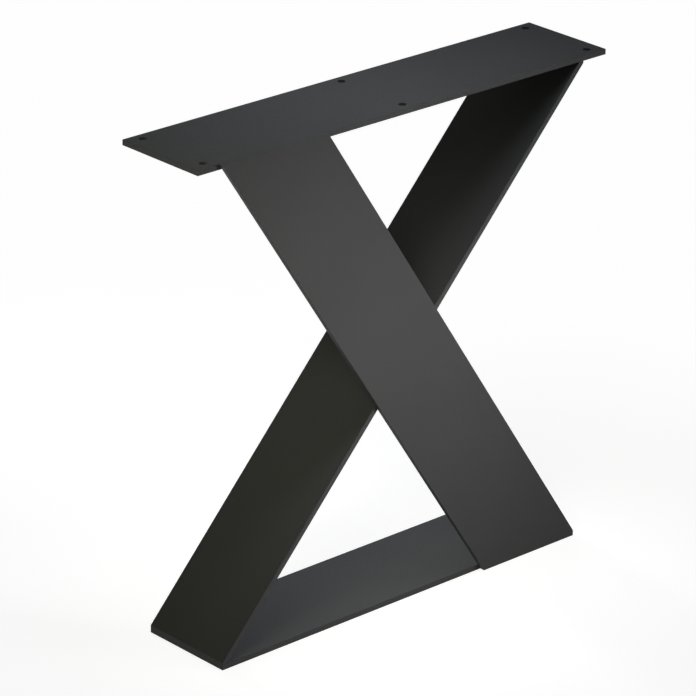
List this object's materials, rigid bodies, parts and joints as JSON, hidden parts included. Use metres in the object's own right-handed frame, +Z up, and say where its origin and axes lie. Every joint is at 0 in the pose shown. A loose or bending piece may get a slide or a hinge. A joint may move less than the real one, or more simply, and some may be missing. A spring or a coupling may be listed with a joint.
{
  "type": "x-shaped table leg",
  "caption": "X-shaped table leg welded from wide flat steel bar: a drilled plate for the table top and a floor bar joined by crossing diagonals, in dark matt powder coat.",
  "frame": {"origin": "on the floor, in the middle of the leg's outer box", "axes": "+X along the base and the plate, +Y from the front diagonal to the back, +Z up to the table top"},
  "size_m": [0.73, 0.158, 0.72],
  "materials": {
    "powder_coat": "matt, finely textured dark grey powder coat",
    "coated_weld": "rippled weld seam under the same powder coat"
  },
  "bodies": {
    "root": {"top_plate": "powder_coat", "base_bar": "powder_coat", "deep_diagonal": "powder_coat", "front_diagonal": "powder_coat", "weld_plate_outer": "coated_weld", "weld_plate_inner": "coated_weld", "weld_base_inner": "coated_weld", "weld_front_plate": "coated_weld", "weld_front_base": "coated_weld", "weld_crossing_lower": "coated_weld", "weld_crossing_upper": "coated_weld"}
  },
  "joints": []
}
